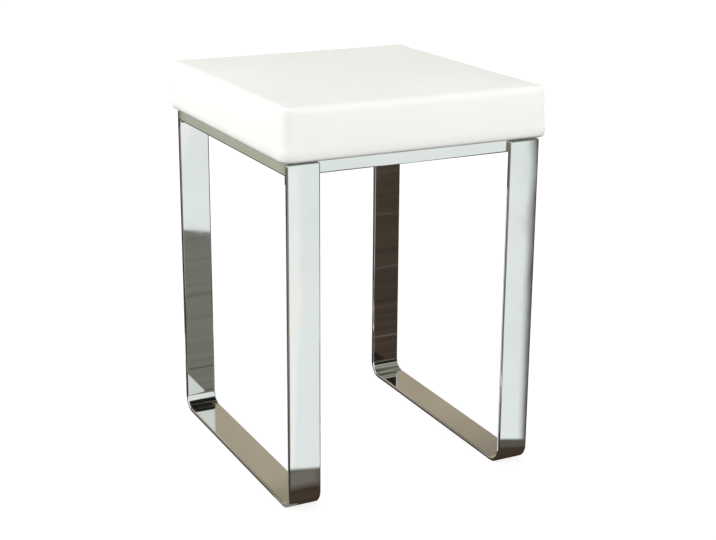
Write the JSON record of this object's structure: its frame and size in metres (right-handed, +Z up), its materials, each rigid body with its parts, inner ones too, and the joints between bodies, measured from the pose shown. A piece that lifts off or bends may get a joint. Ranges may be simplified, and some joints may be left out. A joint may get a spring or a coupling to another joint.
{
  "type": "stool",
  "caption": "Low upholstered stool: a padded, nearly square seat on a ring of square tube, carried by U-shaped legs of chromed flat bar.",
  "frame": {"origin": "on the floor, under the middle of the seat", "axes": "+Z up, +X to the sitter's right, -Y to the front; the runners lie along Y"},
  "size_m": [0.336, 0.356, 0.473],
  "materials": {
    "chrome": "mirror polished, plated over steel",
    "plywood": "raw birch plywood",
    "zinc_steel": "zinc plated",
    "foam": "open-cell polyurethane foam",
    "white_leather": "white coated upholstery, satin",
    "black_cloth": "thin non-woven"
  },
  "bodies": {
    "root": {"left_leg": "chrome", "right_leg": "chrome", "front_rail": "chrome", "back_rail": "chrome", "left_rail": "chrome", "right_rail": "chrome", "leg_welds": "chrome", "corner_plates": "chrome", "seat_board": "plywood", "tee_nuts": "zinc_steel", "foam_pad": "foam", "seat_cover": "white_leather", "cover_staples": "zinc_steel", "dust_cover": "black_cloth", "dust_cover_staples": "zinc_steel", "seat_washers": "zinc_steel", "seat_screws": "zinc_steel"}
  },
  "joints": []
}
